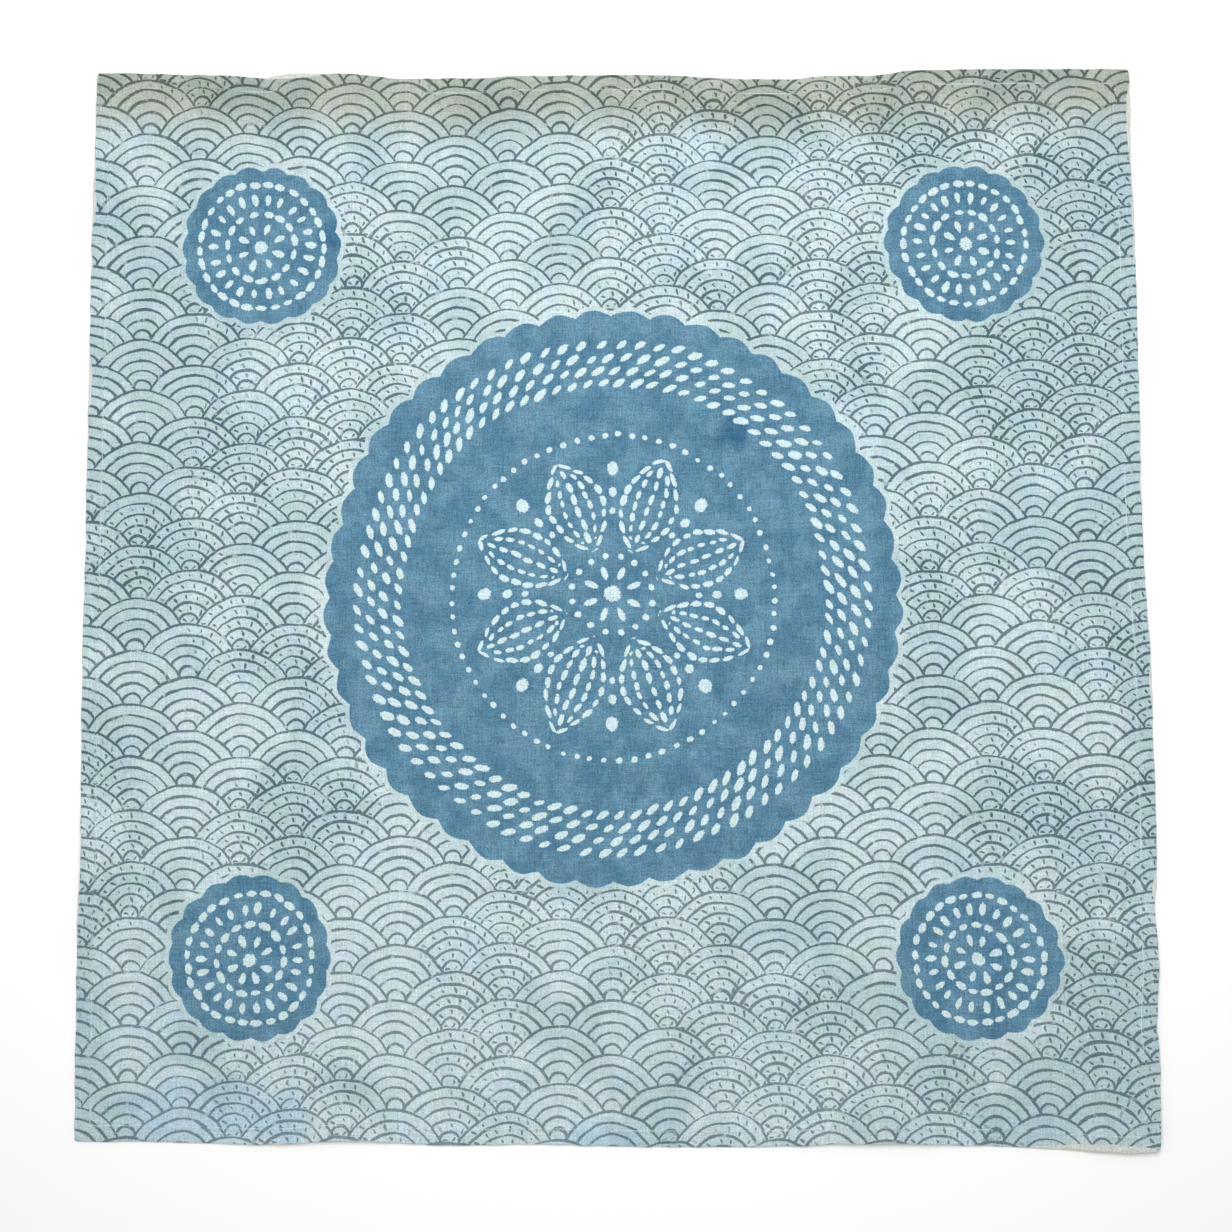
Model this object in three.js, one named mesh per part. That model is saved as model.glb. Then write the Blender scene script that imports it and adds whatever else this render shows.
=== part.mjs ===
// A square cotton bandana, hemmed on all four sides, lying face up on a flat surface.
// It is one sheet of cloth. Most of it touches the surface, and its edges and two of
// its corners lift in soft ripples. Its outline is as uneven as hand-hemmed cloth is.
//
// Frame: millimetres, +Z up, +X to the cloth's right and +Y to its top, seen from above.
// The origin is on the surface, under the middle of the cloth.

import * as THREE from "three";

// Driving dimensions
const WIDTH = 550; // left edge to right edge, across the middle
const LENGTH = 557; // bottom edge to top edge, along the middle
const SHEET_THICKNESS = 1.2; // of the sheet inside the hem
const HEM_THICKNESS = 2; // of the cloth where its edge is turned under and sewn
const HEM_WIDTH = 8; // from the edge to the line of stitches
const HEM_ROUND = 2; // how far in from the edge the turned cloth rounds over
const HEM_EDGE_THICKNESS = 1.4; // at the very edge, where the turn is rounded
const HEM_STEP = 1.5; // width of the slope from the hem down to the single sheet
const EDGE_PULL = 120; // how far into the cloth an uneven edge pulls it along
const INNER_CELLS = 36; // mesh cells across the cloth between its hems

// Uneven outline: at each place along an edge, how far the cloth reaches past the
// straight edge, to the nearest half millimetre. Places run along +X on the top and
// bottom edges, and along +Y on the left and right ones, from the middle of the edge.
const OUTLINE = {
  top: [
    { at: -276, out: 3 },
    { at: -205, out: 2 },
    { at: -187, out: 0.5 },
    { at: -172, out: 2.5 },
    { at: -135, out: 1.5 },
    { at: -115, out: -1.5 },
    { at: -70, out: -1.5 },
    { at: -50, out: 0 },
    { at: 25, out: -0.5 },
    { at: 60, out: -3.5 },
    { at: 95, out: -4.5 },
    { at: 115, out: -2.5 },
    { at: 142, out: -2 },
    { at: 160, out: 1 },
    { at: 276, out: 0.5 },
  ],
  bottom: [
    { at: -276, out: -0.5 },
    { at: -230, out: -0.5 },
    { at: -200, out: 0.5 },
    { at: -165, out: 0.5 },
    { at: -150, out: -1 },
    { at: -122, out: -1 },
    { at: -85, out: 1 },
    { at: -35, out: 0.5 },
    { at: 10, out: 1.5 },
    { at: 90, out: 1 },
    { at: 112, out: -0.5 },
    { at: 160, out: -0.5 },
    { at: 225, out: 2 },
    { at: 255, out: 3.5 },
    { at: 276, out: 3 },
  ],
  left: [
    { at: -279, out: -1 },
    { at: -205, out: 0 },
    { at: -162, out: 0 },
    { at: -148, out: -1 },
    { at: -125, out: -1 },
    { at: -80, out: 0.5 },
    { at: -25, out: 1 },
    { at: 45, out: 1 },
    { at: 90, out: 0.5 },
    { at: 165, out: 1.5 },
    { at: 215, out: 1.5 },
    { at: 240, out: 0.5 },
    { at: 279, out: 0 },
  ],
  right: [
    { at: -279, out: -1 },
    { at: -235, out: 0.5 },
    { at: -215, out: -0.5 },
    { at: -188, out: 1.5 },
    { at: -160, out: 0.5 },
    { at: -145, out: 2 },
    { at: -70, out: 2 },
    { at: -25, out: 1.5 },
    { at: 5, out: 0 },
    { at: 60, out: -1.5 },
    { at: 100, out: -0.5 },
    { at: 150, out: 0 },
    { at: 200, out: -0.5 },
    { at: 228, out: -2 },
    { at: 262, out: -0.5 },
    { at: 279, out: -1 },
  ],
};

// Ripples that lift an edge: where along the edge, half the ripple's width there, how
// far into the cloth it fades out, and how high the edge stands.
const EDGE_RIPPLES = [
  { edge: "top", at: -100, halfWidth: 72, reach: 80, lift: 2.4 },
  { edge: "top", at: 86, halfWidth: 88, reach: 95, lift: 3.2 },
  { edge: "right", at: 62, halfWidth: 76, reach: 70, lift: 2.6 },
  { edge: "right", at: 222, halfWidth: 46, reach: 60, lift: 2.0 },
  { edge: "right", at: -206, halfWidth: 52, reach: 55, lift: 1.5 },
  { edge: "bottom", at: -142, halfWidth: 64, reach: 75, lift: 2.1 },
  { edge: "bottom", at: 138, halfWidth: 68, reach: 80, lift: 2.7 },
  { edge: "left", at: -134, halfWidth: 62, reach: 72, lift: 2.3 },
  { edge: "left", at: 90, halfWidth: 66, reach: 60, lift: 1.7 },
];

// Corners that stand up a little.
const CORNER_LIFTS = [
  { x: -WIDTH / 2, y: LENGTH / 2, reach: 62, lift: 2.8 },
  { x: WIDTH / 2, y: -LENGTH / 2, reach: 56, lift: 3.0 },
];

// Soft ridges left from folding the cloth for storage, each across the cloth from its
// left edge to its right one, at the height where it starts and ends.
const FOLD_RIDGES = [
  { yLeft: -27, yRight: -32, halfWidth: 24, lift: 0.7 },
  { yLeft: -58, yRight: -50, halfWidth: 20, lift: 0.4 },
];

// 1 at the middle of a ripple, 0 from its foot outwards, smooth at both
const swell = (share) =>
  Math.abs(share) < 1 ? Math.cos((share * Math.PI) / 2) ** 2 : 0;

const outlineCurves = Object.fromEntries(
  Object.entries(OUTLINE).map(([edge, rows]) => [
    edge,
    new THREE.CubicInterpolant(
      rows.map((row) => row.at),
      rows.map((row) => row.out),
      1,
    ),
  ]),
);

// How far an edge reaches past its straight line, at a place along it
function reachPast(edge, at) {
  return outlineCurves[edge].evaluate(at)[0];
}

// Distance of a place on the flat cloth from each edge, and its place along that edge
function fromEdge(edge, x, y) {
  return {
    top: { depth: LENGTH / 2 - y, along: x },
    bottom: { depth: LENGTH / 2 + y, along: x },
    left: { depth: WIDTH / 2 + x, along: y },
    right: { depth: WIDTH / 2 - x, along: y },
  }[edge];
}

// Height of the cloth's underside over the surface, at a place on the flat cloth
function undersideHeight(x, y) {
  const edges = EDGE_RIPPLES.map(({ edge, at, halfWidth, reach, lift }) => {
    const { depth, along } = fromEdge(edge, x, y);
    return lift * swell((along - at) / halfWidth) * swell(depth / reach);
  });
  const corners = CORNER_LIFTS.map(
    (corner) =>
      corner.lift * swell(Math.hypot(x - corner.x, y - corner.y) / corner.reach),
  );
  const folds = FOLD_RIDGES.map(({ yLeft, yRight, halfWidth, lift }) => {
    const middle = THREE.MathUtils.lerp(yLeft, yRight, x / WIDTH + 0.5);
    return lift * swell((y - middle) / halfWidth);
  });
  return [...edges, ...corners, ...folds].reduce((sum, part) => sum + part, 0);
}

// Thickness of the cloth at a distance in from its nearest edge
function thickness(depth) {
  const { lerp, smoothstep } = THREE.MathUtils;
  if (depth < HEM_WIDTH)
    return lerp(HEM_EDGE_THICKNESS, HEM_THICKNESS, smoothstep(depth, 0, HEM_ROUND));
  return lerp(
    HEM_THICKNESS,
    SHEET_THICKNESS,
    smoothstep(depth, HEM_WIDTH, HEM_WIDTH + HEM_STEP),
  );
}

// The rows of the mesh across one side of the cloth: close together at the two hems,
// where the thickness changes, and evenly spaced between them
function stations(size) {
  const hem = [0, HEM_ROUND, HEM_WIDTH, HEM_WIDTH + HEM_STEP];
  const inner = hem.at(-1);
  const pitch = (size - 2 * inner) / INNER_CELLS;
  const middle = Array.from({ length: INNER_CELLS - 1 }, (_, i) => inner + (i + 1) * pitch);
  const farHem = hem.map((place) => size - place).reverse();
  return [...hem, ...middle, ...farHem].map((place) => place - size / 2);
}

// The cloth: a box of one cell in thickness, each of whose corners is moved to its
// place on the uneven, rippled sheet
function clothGeometry() {
  const across = stations(WIDTH);
  const along = stations(LENGTH);
  const cells = across.length - 1;
  const box = new THREE.BoxGeometry(1, 1, 1, cells, cells, 1);
  const corners = box.attributes.position;
  for (let i = 0; i < corners.count; i++) {
    const x = across[Math.round((corners.getX(i) + 0.5) * cells)];
    const y = along[Math.round((corners.getY(i) + 0.5) * cells)];
    const depth = Math.min(WIDTH / 2 - Math.abs(x), LENGTH / 2 - Math.abs(y));
    const sideEdge = x < 0 ? "left" : "right";
    const endEdge = y < 0 ? "bottom" : "top";
    const sidePull = swell(fromEdge(sideEdge, x, y).depth / EDGE_PULL);
    const endPull = swell(fromEdge(endEdge, x, y).depth / EDGE_PULL);
    const onTop = corners.getZ(i) > 0;
    corners.setXYZ(
      i,
      x + Math.sign(x) * sidePull * reachPast(sideEdge, y),
      y + Math.sign(y) * endPull * reachPast(endEdge, x),
      undersideHeight(x, y) + (onTop ? thickness(depth) : 0),
    );
  }
  box.computeVertexNormals();
  return box;
}

const printedCotton = new THREE.MeshStandardMaterial({
  color: 0x9fbcc2,
  roughness: 0.92,
  metalness: 0,
});

const bandana = new THREE.Group();
const cloth = new THREE.Mesh(clothGeometry(), printedCotton);
cloth.name = "cloth";
bandana.add(cloth);

export default bandana;
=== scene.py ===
"""A hemmed square of printed cotton, a bandana, lying face up on a pale floor.

The cloth is one thin closed sheet that follows the folds of its solid: its hems are thicker
and rounded over, its edges and two of its corners lift in soft ripples, and a few creases
from folding cross it. A row of stitches holds the hems. The print is made in the material
from the cloth's own flat coordinates: a ground of overlapping wave scallops in thin lines,
a large round flower in the middle and four small ones on the diagonals, in pale seed marks.

Frame: metres, +Z up, +X to the cloth's right and +Y to its top, seen from above. The origin
is on the floor, under the middle of the cloth. The tables and the print are in millimetres.
"""

import math

import bmesh
import bpy
from mathutils import Euler, Matrix, Vector, noise


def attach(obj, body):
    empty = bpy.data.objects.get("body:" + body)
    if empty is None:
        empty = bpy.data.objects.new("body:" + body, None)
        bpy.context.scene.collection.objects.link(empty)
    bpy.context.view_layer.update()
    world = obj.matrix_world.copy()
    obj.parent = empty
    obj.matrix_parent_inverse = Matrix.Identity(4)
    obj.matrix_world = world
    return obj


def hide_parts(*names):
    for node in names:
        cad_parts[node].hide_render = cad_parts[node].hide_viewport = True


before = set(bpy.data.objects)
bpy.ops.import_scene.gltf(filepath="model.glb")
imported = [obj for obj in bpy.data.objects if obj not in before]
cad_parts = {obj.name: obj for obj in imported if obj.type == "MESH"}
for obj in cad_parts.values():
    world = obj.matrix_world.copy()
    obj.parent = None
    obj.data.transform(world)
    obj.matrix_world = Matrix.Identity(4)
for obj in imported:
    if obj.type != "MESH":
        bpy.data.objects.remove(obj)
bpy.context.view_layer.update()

bl_info = {
    "name": "Printed Cotton Bandana",
    "version": (1, 0, 0),
    "blender": (4, 5, 0),
    "location": "3D View > Sidebar > Bandana",
    "description": "Makes a hemmed cotton bandana with a resist print, lying on a floor",
    "category": "Add Mesh",
}

MM = 0.001
FLAT_MAP = "flat_cloth"
BARE_WIDTH = "bare_width"


def table(columns, *rows):
    """Rows of values, each read by the names of the columns."""
    return [dict(zip(columns.split(), row)) for row in rows]



# Uneven outline, as in the CAD: places along each edge from its middle, and how far the cloth
# reaches past the straight edge there, to the nearest half millimetre
OUTLINE = {
    "top": {
        "at": (-276, -205, -187, -172, -135, -115, -70, -50, 25, 60, 95, 115, 142, 160, 276),
        "reach": (3, 2, 0.5, 2.5, 1.5, -1.5, -1.5, 0, -0.5, -3.5, -4.5, -2.5, -2, 1, 0.5),
    },
    "bottom": {
        "at": (-276, -230, -200, -165, -150, -122, -85, -35, 10, 90, 112, 160, 225, 255, 276),
        "reach": (-0.5, -0.5, 0.5, 0.5, -1, -1, 1, 0.5, 1.5, 1, -0.5, -0.5, 2, 3.5, 3),
    },
    "left": {
        "at": (-279, -205, -162, -148, -125, -80, -25, 45, 90, 165, 215, 240, 279),
        "reach": (-1, 0, 0, -1, -1, 0.5, 1, 1, 0.5, 1.5, 1.5, 0.5, 0),
    },
    "right": {
        "at": (-279, -235, -215, -188, -160, -145, -70, -25, 5, 60, 100, 150, 200, 228, 262, 279),
        "reach": (-1, 0.5, -0.5, 1.5, 0.5, 2, 2, 1.5, 0, -1.5, -0.5, 0, -0.5, -2, -0.5, -1),
    },
}
EDGE_PULL = 120  # how far into the cloth an uneven edge pulls it along

# Small unevenness of the hems: how far it reaches, the length of its waves, a row of the noise
# between whole numbers, where it isn't always 0, and each edge's own place in the noise
HEM_WAVER = {
    "reach": 0.45,
    "length": 7,
    "row": 0.37,
    "seeds": {"top": 3.0, "bottom": 6.4, "left": 9.7, "right": 12.2},
}

# Pucker of a hem by its stitches: length and depth of its waves, how far in from the edge its
# middle is, which is also half its width, and its place in the noise
PUCKER = {"length": 5.5, "depth": 14, "middle": 6.5, "seed": 2.3}

HEM_STEP = 0.4  # how far outside a hem's inner fold its step down starts
EDGE_ROUND = 0.9  # depth of the rounded edge, as a share of the hem's thickness
EDGE_LEFT = 0.16  # what is left of the hem's thickness at its very edge, as a share

# Places of the mesh rows over a hem, from the cloth's edge inwards, closest where the edge is
# rounded over
HEM_ROWS = (0, 0.12, 0.4, 0.8, 1.5, 2.6, 3.9, 5.2, 6.4, 7.4, 8.2, 9.2, 10.4, 12.2, 14.6)

# Ripples that lift an edge: where along it, half the ripple's width there, how far into the
# cloth it fades out, and how high the edge stands
EDGE_RIPPLES = table(
    "edge at half_width reach lift",
    ("top", -100, 72, 80, 2.4),
    ("top", 86, 88, 95, 3.2),
    ("right", 62, 76, 70, 2.6),
    ("right", 222, 46, 60, 2.0),
    ("right", -206, 52, 55, 1.5),
    ("bottom", -142, 64, 75, 2.1),
    ("bottom", 138, 68, 80, 2.7),
    ("left", -134, 62, 72, 2.3),
    ("left", 90, 66, 60, 1.7),
)

# Corners that stand up a little, by the side and end of the cloth that they are on
CORNER_LIFTS = table(
    "side end reach lift",
    (-1, 1, 62, 2.8),
    (1, -1, 56, 3.0),
)

# How round each corner is, by whether it is on the right and whether at the top
CORNER_ROUNDS = {
    (False, False): 1.6,
    (True, False): 3.4,
    (False, True): 2.0,
    (True, True): 1.5,
}

# Soft ridges left from folding, across the cloth from its left edge to its right one
FOLD_RIDGES = table(
    "y_left y_right half_width lift",
    (-27, -32, 24, 0.7),
    (-58, -50, 20, 0.4),
)

# Sharp creases along those ridges, from a start to an end point
CREASES = table(
    "start end half_width lift",
    ((-70, -27.6), (135, -31.6), 3.2, 0.34),
    ((-110, -56.0), (46, -52.6), 3.6, 0.18),
)

# Soft unevenness of the lying cloth: the length of its waves and the height that they add
LIE_WAVES = table(
    "length height seed",
    (70, 0.42, 3.1),
    (22, 0.12, 8.7),
)

# Where cloth that the print missed shows along an edge: place, half its length, its width
BARE_STRIPS = table(
    "edge at half_length width",
    ("top", -170, 26, 2.6),
    ("bottom", -215, 16, 0.8),
    ("bottom", 248, 56, 3.9),
    ("left", 214, 26, 1.6),
    ("left", 176, 12, 1.2),
    ("left", 112, 24, 1.5),
    ("left", -28, 12, 1.1),
    ("right", 250, 30, 2.4),
    ("right", 193, 26, 1.2),
    ("right", -50, 20, 1.6),
    ("right", -151, 9, 2.0),
)


def swell(share):
    """1 at the middle of a ripple, 0 from its foot outwards, smooth at both."""
    return math.cos(share * math.pi / 2) ** 2 if abs(share) < 1 else 0.0


def smooth(value, start, end):
    """0 at the start, 1 at the end, smooth at both."""
    share = min(max((value - start) / (end - start), 0.0), 1.0)
    return share * share * (3 - 2 * share)


def reach_past(edge, at):
    """How far an edge reaches past its straight line, on a smooth curve through its table."""
    places, reach = OUTLINE[edge]["at"], OUTLINE[edge]["reach"]
    last = len(places) - 1
    i = min(max(sum(at >= place for place in places) - 1, 0), last - 1)
    before, after = max(i - 1, 0), min(i + 2, last)
    span = places[i + 1] - places[i]
    slope_in = (reach[i + 1] - reach[before]) / (places[i + 1] - places[before]) * span
    slope_out = (reach[after] - reach[i]) / (places[after] - places[i]) * span
    t = (at - places[i]) / span
    return (
        reach[i] * (1 + 2 * t) * (1 - t) ** 2
        + slope_in * t * (1 - t) ** 2
        + reach[i + 1] * t * t * (3 - 2 * t)
        - slope_out * t * t * (1 - t)
    )


class LyingCloth:
    """Where each place of the flat cloth lies, in millimetres. Only its points are in metres."""

    def __init__(self, sizes):
        self.width = sizes.width / MM
        self.length = sizes.length / MM
        self.sheet = sizes.sheet_thickness / MM
        self.hem = sizes.hem_thickness / MM
        self.hem_width = sizes.hem_width / MM
        self.hem_slope = sizes.hem_slope / MM
        self.pucker = sizes.hem_pucker / MM

    def from_edges(self, x, y):
        """Distance in from each edge, and the place along it."""
        return {
            "top": (self.length / 2 - y, x),
            "bottom": (self.length / 2 + y, x),
            "left": (self.width / 2 + x, y),
            "right": (self.width / 2 - x, y),
        }

    def underside(self, x, y):
        """Height of the cloth's underside over the floor."""
        edges = self.from_edges(x, y)
        height = 0.0
        for ripple in EDGE_RIPPLES:
            depth, along = edges[ripple["edge"]]
            shape = swell((along - ripple["at"]) / ripple["half_width"])
            height += ripple["lift"] * shape * swell(depth / ripple["reach"])
        for corner in CORNER_LIFTS:
            from_x = x - corner["side"] * self.width / 2
            from_y = y - corner["end"] * self.length / 2
            height += corner["lift"] * swell(math.hypot(from_x, from_y) / corner["reach"])
        for fold in FOLD_RIDGES:
            share = x / self.width + 0.5
            middle = fold["y_left"] + (fold["y_right"] - fold["y_left"]) * share
            height += fold["lift"] * swell((y - middle) / fold["half_width"])
        for crease in CREASES:
            (x0, y0), (x1, y1) = crease["start"], crease["end"]
            share = (x - x0) / (x1 - x0)
            from_line = y - (y0 + (y1 - y0) * share)
            fade = swell(2 * share - 1) ** 0.5 if 0 < share < 1 else 0.0
            height += crease["lift"] * fade * swell(from_line / crease["half_width"])
        for wave in LIE_WAVES:
            place = Vector((x / wave["length"], y / wave["length"], wave["seed"]))
            height += wave["height"] * (0.5 + 0.5 * noise.noise(place))
        return height

    def thickness(self, x, y):
        """Thickness of the cloth: the turned hem, puckered by its stitches, or one sheet."""
        depth, along = min(self.from_edges(x, y).values())
        inner = smooth(depth, self.hem_width - HEM_STEP, self.hem_width + self.hem_slope)
        place = Vector((along / PUCKER["length"], depth / PUCKER["depth"], PUCKER["seed"]))
        near_stitches = swell((depth - PUCKER["middle"]) / PUCKER["middle"])
        hem = self.hem + self.pucker * noise.noise(place) * near_stitches
        return hem + (self.sheet - hem) * inner

    def bare_width(self, x, y):
        """Width of the strip that the print missed, along the edge nearest to a place."""
        edges = self.from_edges(x, y)
        nearest = min(edges, key=lambda edge: edges[edge][0])
        along = edges[nearest][1]
        return sum(
            strip["width"] * swell((along - strip["at"]) / strip["half_length"])
            for strip in BARE_STRIPS
            if strip["edge"] == nearest
        )

    def rounded(self, x, y):
        """A point moved in where a corner of the cloth is rounded."""
        in_x, in_y = self.width / 2 - abs(x), self.length / 2 - abs(y)
        radius = CORNER_ROUNDS[x > 0, y > 0]
        if min(in_x, in_y) > radius or max(in_x, in_y) > radius:
            return x, y
        far = math.hypot(radius - in_x, radius - in_y)
        square = max(radius - in_x, radius - in_y)
        pull = 1 - square / far if far else 0.0
        return (
            x - math.copysign((radius - in_x) * pull, x),
            y - math.copysign((radius - in_y) * pull, y),
        )

    def reach(self, edge, depth, along):
        """How far a point is moved out by the unevenness of an edge."""
        place = Vector((along / HEM_WAVER["length"], HEM_WAVER["row"], HEM_WAVER["seeds"][edge]))
        waver = HEM_WAVER["reach"] * noise.noise(place) * swell(depth / self.hem_width / 2)
        return reach_past(edge, along) * swell(depth / EDGE_PULL) + waver

    def point(self, x, y, face):
        """The place of a point of the cloth's face (1) or underside (0), in metres."""
        edges = self.from_edges(x, y)
        side, end = ("left" if x < 0 else "right"), ("bottom" if y < 0 else "top")
        thick = self.thickness(x, y)
        depth = min(edge[0] for edge in edges.values())
        turn = min(depth / (self.hem * EDGE_ROUND), 1.0)
        fullness = max(math.sqrt(1 - (1 - turn) ** 2), EDGE_LEFT)
        height = self.underside(x, y) + thick * (0.5 + (face - 0.5) * fullness)
        flat_x, flat_y = self.rounded(x, y)
        return Vector(
            (
                flat_x + math.copysign(1, x) * self.reach(side, *edges[side]),
                flat_y + math.copysign(1, y) * self.reach(end, *edges[end]),
                height,
            )
        ) * MM


def rows_across(size, inner_cells):
    """Places of the mesh rows across the cloth: close together in its two hems."""
    inner = HEM_ROWS[-1]
    pitch = (size - 2 * inner) / inner_cells
    middle = [inner + pitch * (i + 1) for i in range(inner_cells - 1)]
    places = [*HEM_ROWS, *middle, *(size - row for row in reversed(HEM_ROWS))]
    return [place - size / 2 for place in places]


def linear(red, green, blue):
    """A colour as it shows on a screen, 0 to 255, as the linear colour that a shader takes."""

    def channel(value):
        share = value / 255
        return share / 12.92 if share <= 0.04045 else ((share + 0.055) / 1.055) ** 2.4

    return (channel(red), channel(green), channel(blue), 1.0)


def length_property(name, description, default):
    """A size that a user may change, in metres."""
    return bpy.props.FloatProperty(
        name=name, description=description, default=default, min=0, precision=5, unit="LENGTH"
    )


def colour_property(name, description, default):
    """A colour that a user may change."""
    return bpy.props.FloatVectorProperty(
        name=name, description=description, default=default, size=4, min=0, max=1, subtype="COLOR"
    )


class ClothSizes(bpy.types.PropertyGroup):
    """Sizes of the cloth and its hems."""

    width: length_property("Width", "Left edge to right edge, laid flat", 0.550)
    length: length_property("Length", "Bottom edge to top edge, laid flat", 0.557)
    sheet_thickness: length_property("Sheet thickness", "Of the single cotton", 0.00038)
    hem_thickness: length_property("Hem thickness", "Of the turned and sewn edge", 0.00095)
    hem_width: length_property("Hem width", "From the edge to the hem's inner fold", 0.008)
    hem_slope: length_property("Hem slope", "Width of the step down from the hem", 0.0028)
    hem_pucker: length_property("Hem pucker", "How far the stitches pull the hem", 0.00016)
    inner_cells: bpy.props.IntProperty(
        name="Mesh cells", description="Across the cloth between its hems", default=186, min=20
    )


class StitchSizes(bpy.types.PropertyGroup):
    """Sizes of the row of stitches along the hem."""

    depth: length_property("Depth", "From the cloth's edge to the row of stitches", 0.0072)
    pitch: length_property("Pitch", "From one stitch to the next", 0.0028)
    stitch_length: length_property("Stitch length", "What shows of one stitch", 0.0022)
    thread_width: length_property("Thread width", "Of the sewing thread", 0.0003)
    colour: colour_property("Thread", "Colour of the thread", linear(194, 203, 202))
    shade: colour_property("Thread shade", "Deeper parts of the thread", linear(181, 193, 196))


class PrintSettings(bpy.types.PropertyGroup):
    """Colours and sizes of the print."""

    ground: colour_property("Ground", "Pale dyed ground", linear(193, 211, 214))
    ground_shade: colour_property("Ground shade", "Deeper parts of the ground", linear(173, 195, 198))
    line: colour_property("Line", "Thin printed lines", linear(66, 90, 95))
    line_blue: colour_property("Line, blue", "Where the lines turn bluer", linear(63, 92, 104))
    flower: colour_property("Flower", "Dyed flowers", linear(95, 136, 158))
    flower_deep: colour_property("Flower, deep", "Where the dye is deeper", linear(75, 118, 143))
    seed: colour_property("Seed marks", "Marks that the resist kept pale", linear(196, 217, 221))
    bare: colour_property("Bare", "Cloth that the print missed at the edges", linear(204, 206, 200))
    scallop: length_property("Scallop", "Radius of a wave scallop", 0.0275)
    line_pitch: length_property("Line pitch", "From one line of a scallop to the next", 0.0055)
    line_width: length_property("Line width", "Of a printed line", 0.0013)
    flower_radius: length_property("Flower radius", "Of the middle flower", 0.147)
    bud_radius: length_property("Bud radius", "Of the four small flowers", 0.041)
    bud_place: length_property("Bud place", "Small flowers from the middle, along each side", 0.186)


class StageSettings(bpy.types.PropertyGroup):
    """Floor, lights and camera."""

    floor: colour_property("Floor", "Plain pale floor", linear(254, 254, 253))
    sky: bpy.props.FloatProperty(
        name="Sky", description="Strength of the even light from all round", default=0.58, min=0
    )
    window: bpy.props.FloatProperty(
        name="Window", description="Power of the soft light", default=4.9, min=0, unit="POWER"
    )


WALL = 60  # steepness of the wall that ends a row of marks


class Amount:
    """A number that may differ from place to place on a surface: an output in a material."""

    def __init__(self, tree, socket):
        self.tree, self.socket = tree, socket

    def into(self, socket):
        self.tree.links.new(self.socket, socket)

    def math(self, operation, *others):
        node = self.tree.nodes.new("ShaderNodeMath")
        node.operation = operation
        for slot, value in zip(node.inputs, (self, *others)):
            if isinstance(value, Amount):
                value.into(slot)
            else:
                slot.default_value = value
        return Amount(self.tree, node.outputs[0])

    def __add__(self, other):
        return self.math("ADD", other)

    def __sub__(self, other):
        return self.math("SUBTRACT", other)

    def __rsub__(self, other):
        return self.times_plus(-1, other)

    def __mul__(self, other):
        return self.math("MULTIPLY", other)

    def __truediv__(self, other):
        return self.math("DIVIDE", other)

    def __abs__(self):
        return self.math("ABSOLUTE")

    def times_plus(self, factor, extra):
        return self.math("MULTIPLY_ADD", factor, extra)

    def about(self, middle, spread):
        """A value from 0 to 1 laid out over a spread, about a middle."""
        return self.times_plus(spread, middle - spread / 2)

    def floor(self):
        return self.math("FLOOR")

    def part(self):
        """What is left above the whole number."""
        return self.math("FRACT")

    def least(self, other):
        return self.math("MINIMUM", other)

    def most(self, other):
        return self.math("MAXIMUM", other)

    def below(self, other):
        return self.math("LESS_THAN", other)

    def over(self, limit):
        """A steep wall over a limit, to end a row of marks."""
        return (self - limit).most(0.0) * WALL

    def rise(self, start, end, low=0.0, high=1.0):
        """Goes smoothly from low at start to high at end."""
        node = self.tree.nodes.new("ShaderNodeMapRange")
        node.interpolation_type = "SMOOTHSTEP"
        for name, value in (("Value", self), ("From Min", start), ("From Max", end)):
            if isinstance(value, Amount):
                value.into(node.inputs[name])
            else:
                node.inputs[name].default_value = value
        node.inputs["To Min"].default_value = low
        node.inputs["To Max"].default_value = high
        return Amount(self.tree, node.outputs["Result"])


def spot(x, y):
    """A point of the cloth as a vector."""
    node = x.tree.nodes.new("ShaderNodeCombineXYZ")
    x.into(node.inputs["X"])
    y.into(node.inputs["Y"])
    return Amount(x.tree, node.outputs["Vector"])


def away(across, along):
    """Straight distance from two distances at right angles."""
    node = across.tree.nodes.new("ShaderNodeVectorMath")
    node.operation = "LENGTH"
    spot(across, along).into(node.inputs[0])
    return Amount(across.tree, node.outputs["Value"])


def patch_node(point, size, detail, roughness, seed):
    """Smooth chance values in patches of a size, which may differ across and along."""
    across, along = size if isinstance(size, tuple) else (size, size)
    scale = point.tree.nodes.new("ShaderNodeVectorMath")
    scale.operation = "MULTIPLY_ADD"
    point.into(scale.inputs[0])
    scale.inputs[1].default_value = (1 / across, 1 / along, 0)
    scale.inputs[2].default_value = (seed, -seed, 0)
    node = point.tree.nodes.new("ShaderNodeTexNoise")
    node.noise_dimensions = "2D"
    point.tree.links.new(scale.outputs["Vector"], node.inputs["Vector"])
    node.inputs["Scale"].default_value = 1.0
    node.inputs["Detail"].default_value = detail
    node.inputs["Roughness"].default_value = roughness
    return node


def patches(point, size, detail=1.0, roughness=0.5, seed=0.0):
    """One chance value about a half."""
    node = patch_node(point, size, detail, roughness, seed)
    return Amount(point.tree, node.outputs["Fac"])


def three_patches(point, size, detail=1.0, roughness=0.5, seed=0.0):
    """Three chance values about a half."""
    return channels(point.tree, patch_node(point, size, detail, roughness, seed).outputs["Color"])


def channels(tree, socket):
    """The three numbers of a colour or a vector."""
    node = tree.nodes.new("ShaderNodeSeparateXYZ")
    tree.links.new(socket, node.inputs[0])
    return [Amount(tree, output) for output in node.outputs]


def chances(number):
    """Three chance values from 0 to 1 that belong to a whole number."""
    node = number.tree.nodes.new("ShaderNodeTexWhiteNoise")
    node.noise_dimensions = "1D"
    number.into(node.inputs["W"])
    return channels(number.tree, node.outputs["Color"])


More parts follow.
